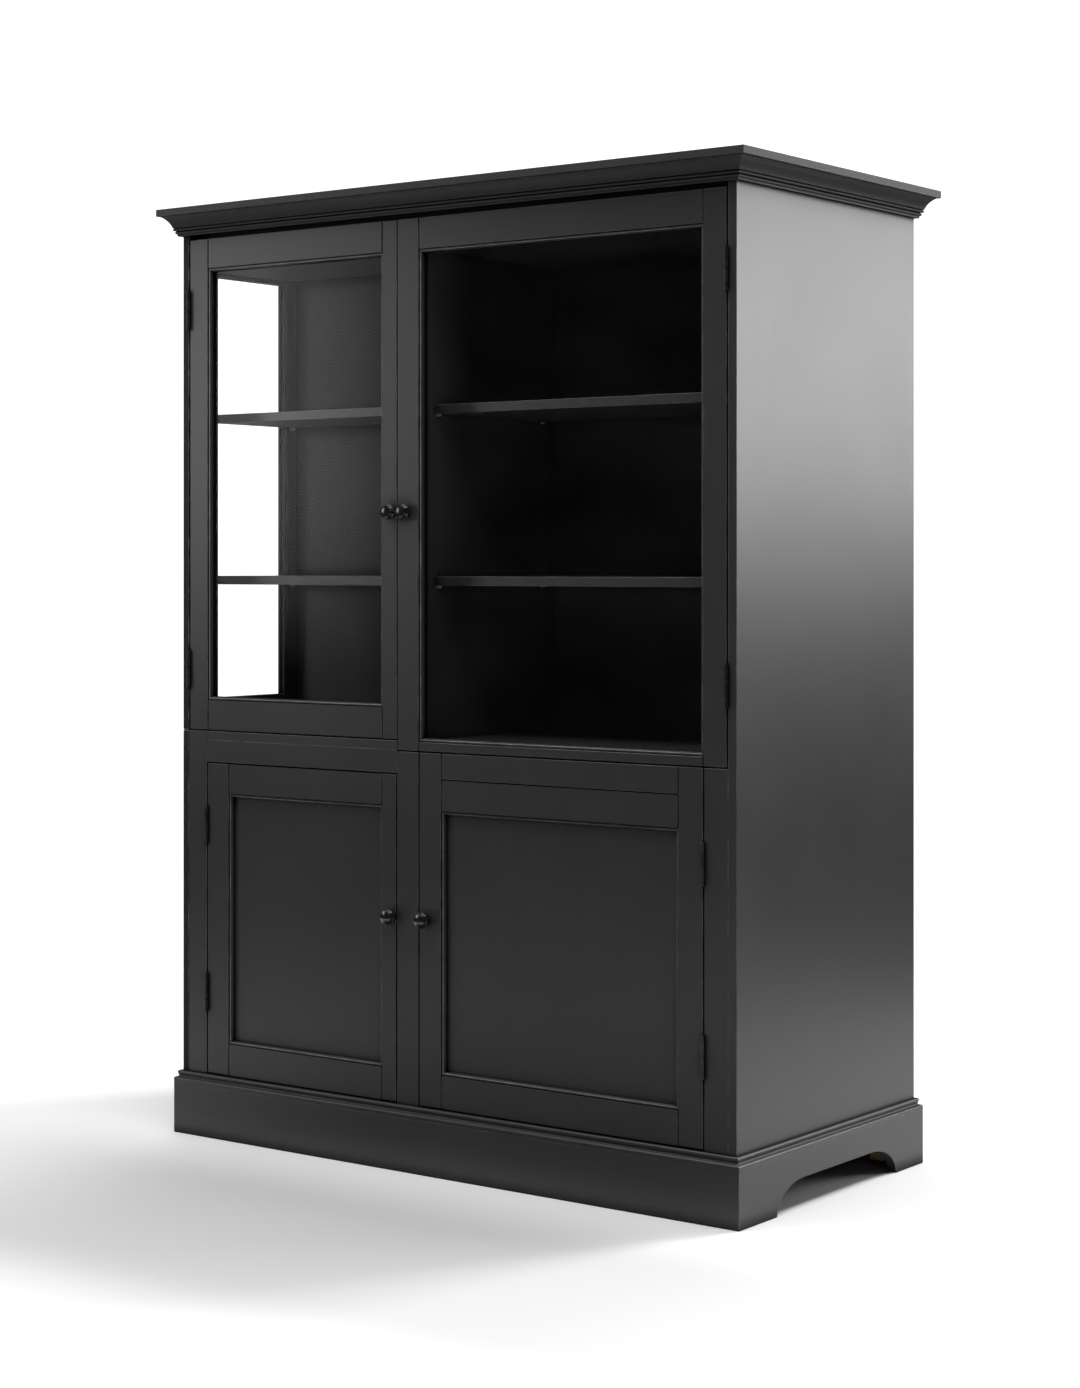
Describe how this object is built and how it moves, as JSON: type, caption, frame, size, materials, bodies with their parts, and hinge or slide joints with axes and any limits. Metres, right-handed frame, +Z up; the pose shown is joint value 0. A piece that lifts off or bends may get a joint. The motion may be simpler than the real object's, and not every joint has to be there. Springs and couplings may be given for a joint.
{
  "type": "curio cabinet",
  "caption": "Tall black-painted cabinet: glazed display doors over panelled cupboard doors, side light, moulded cornice, arched plinth.",
  "frame": {"origin": "on the floor, under the middle of the carcase in width and depth", "axes": "+Z up, -Y out of the front of the cabinet, +X to the right of someone facing it"},
  "size_m": [1.428, 0.722, 1.9],
  "materials": {
    "black_paint": "satin black paint on wood board, rubbed at the edges",
    "bare_wood": "unpainted softwood glue blocks",
    "glass": "clear float glass",
    "black_steel": "satin black steel",
    "knob_enamel": "glossy black enamel on a turned metal knob",
    "pin_steel": "nickel-plated steel"
  },
  "bodies": {
    "cabinet": {"plinth_front": "black_paint", "plinth_back": "black_paint", "plinth_left": "black_paint", "plinth_right": "black_paint", "plinth_blocks": "bare_wood", "base_moulding": "black_paint", "bottom_panel": "black_paint", "right_side_panel": "black_paint", "left_side_lower_panel": "black_paint", "left_side_stiles": "black_paint", "left_side_rails": "black_paint", "left_side_rear_panel": "black_paint", "left_side_glass": "glass", "left_side_bead": "black_paint", "divider_panel": "black_paint", "meeting_post": "black_paint", "back_panel": "black_paint", "display_backs": "black_paint", "ceiling_panel": "black_paint", "head_rail": "black_paint", "top_panel": "black_paint", "decks": "black_paint", "deck_lip": "black_paint", "mid_rail": "black_paint", "left_post": "black_paint", "centre_post": "black_paint", "right_post": "black_paint", "left_shelves": "black_paint", "right_shelves": "black_paint", "shelf_pins": "pin_steel", "cornice_front": "black_paint", "cornice_returns": "black_paint", "frame_hinge_leaves": "black_steel", "hinge_pins": "black_steel", "catch_magnets": "pin_steel", "anchor_rail": "black_paint"},
    "upper_left_door": {"upper_left_stiles": "black_paint", "upper_left_rails": "black_paint", "upper_left_glass": "glass", "upper_left_bead": "black_paint", "upper_left_knob": "knob_enamel", "upper_left_fittings": "black_steel"},
    "upper_right_door": {"upper_right_stiles": "black_paint", "upper_right_rails": "black_paint", "upper_right_glass": "glass", "upper_right_bead": "black_paint", "upper_right_knob": "knob_enamel", "upper_right_fittings": "black_steel"},
    "lower_left_door": {"lower_left_stiles": "black_paint", "lower_left_rails": "black_paint", "lower_left_panel": "black_paint", "lower_left_bead": "black_paint", "lower_left_knob": "knob_enamel", "lower_left_fittings": "black_steel"},
    "lower_right_door": {"lower_right_stiles": "black_paint", "lower_right_rails": "black_paint", "lower_right_panel": "black_paint", "lower_right_bead": "black_paint", "lower_right_knob": "knob_enamel", "lower_right_fittings": "black_steel"}
  },
  "joints": [
    {"name": "upper_left_hinge", "type": "hinge", "parent": "cabinet", "child": "upper_left_door", "pos_m": [-0.6555, -0.3265, 1.3235], "axis": [0, 0, -1], "range_deg": [0, 120]},
    {"name": "upper_right_hinge", "type": "hinge", "parent": "cabinet", "child": "upper_right_door", "pos_m": [0.6555, -0.3265, 1.3235], "axis": [0, 0, 1], "range_deg": [0, 120]},
    {"name": "lower_left_hinge", "type": "hinge", "parent": "cabinet", "child": "lower_left_door", "pos_m": [-0.6055, -0.3265, 0.4665], "axis": [0, 0, -1], "range_deg": [0, 120]},
    {"name": "lower_right_hinge", "type": "hinge", "parent": "cabinet", "child": "lower_right_door", "pos_m": [0.6055, -0.3265, 0.4665], "axis": [0, 0, 1], "range_deg": [0, 120]}
  ]
}
